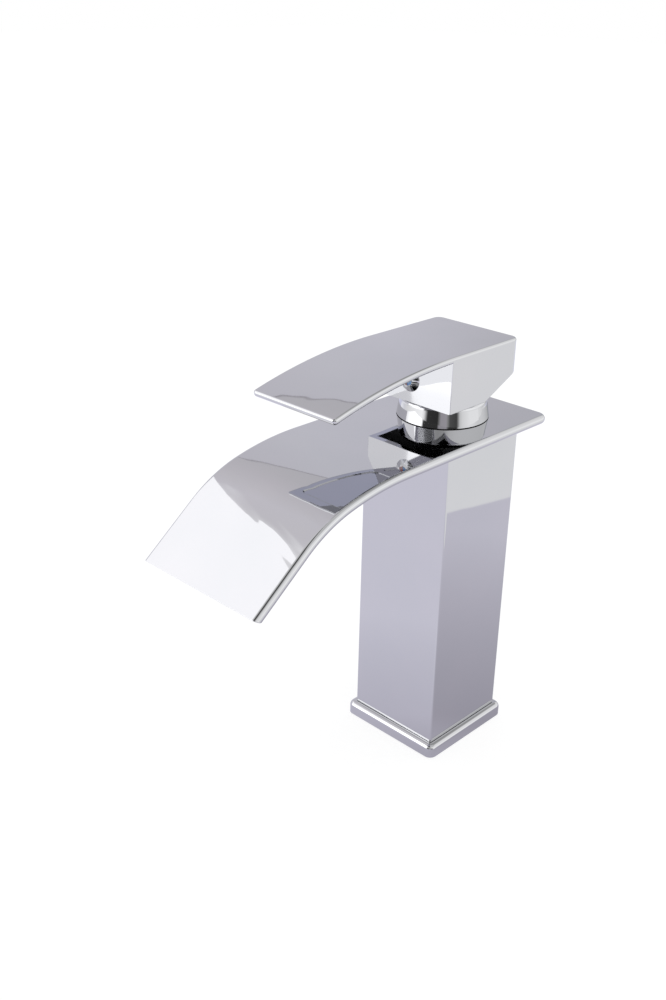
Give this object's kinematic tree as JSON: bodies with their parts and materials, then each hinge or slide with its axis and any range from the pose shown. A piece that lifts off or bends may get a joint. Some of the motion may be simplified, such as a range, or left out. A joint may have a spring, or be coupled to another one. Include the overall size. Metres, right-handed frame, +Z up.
{
  "type": "waterfall basin faucet",
  "caption": "Single-lever basin mixer with a square column, a wide curved waterfall spout plate and a flat lever handle over a ceramic cartridge.",
  "frame": {"origin": "centre of the foot's underside, on the deck that the faucet stands on", "axes": "+Z up, -Y towards the spout's lip and the user, +X to the right of someone who stands in front"},
  "size_m": [0.061, 0.1613, 0.1798],
  "materials": {
    "chrome_brass": "polished chrome plate over brass or zinc",
    "chrome_zinc": "polished chrome plate over die-cast zinc",
    "brass": "machined brass",
    "copper": "drawn copper tube",
    "rubber_black": "moulded nitrile rubber",
    "acetal_white": "moulded acetal",
    "acetal_blue": "moulded acetal",
    "ceramic": "lapped alumina ceramic",
    "steel": "ground stainless steel",
    "black_steel": "blackened steel",
    "blue_enamel": "blue enamel inlay",
    "red_enamel": "red enamel inlay"
  },
  "bodies": {
    "root": {"base_flange": "chrome_brass", "deck_seal": "rubber_black", "column_casing": "chrome_brass", "inlet_block": "brass", "hot_inlet_tube": "copper", "cold_inlet_tube": "copper", "tube_o_rings": "rubber_black", "valve_body": "brass", "spout_top": "chrome_brass", "spout_underplate": "chrome_brass", "flow_guide": "acetal_white", "cartridge_base": "acetal_blue", "port_seals": "rubber_black", "disc_seals": "rubber_black", "fixed_disc": "ceramic", "cartridge_shell": "acetal_blue", "retaining_nut": "brass", "trim_washer": "rubber_black", "trim_ring": "chrome_brass"},
    "rotor": {"stem_rotor": "acetal_white", "pivot_pin": "steel"},
    "disc": {"moving_disc": "ceramic", "disc_carrier": "acetal_white"},
    "lever": {"cartridge_stem": "steel", "handle_lever": "chrome_zinc", "grub_screw": "black_steel", "indicator_plug": "chrome_zinc", "cold_mark": "blue_enamel", "hot_mark": "red_enamel"}
  },
  "joints": [
    {"name": "temperature_swing", "type": "hinge", "parent": "root", "child": "rotor", "pos_m": [0, 0, 0.146], "axis": [0, 0, 1], "range_deg": [-45, 45]},
    {"name": "flow_lift", "type": "hinge", "parent": "rotor", "child": "lever", "pos_m": [0, 0, 0.146], "axis": [-1, 0, 0], "range_deg": [0, 25]},
    {"name": "disc_slide", "type": "slide", "parent": "rotor", "child": "disc", "axis": [0, -1, 0], "range_m": [0, 0.0046]}
  ],
  "couplings": [
    {"joint": "disc_slide", "follows": "flow_lift", "m_per_rad": 0.01017}
  ]
}
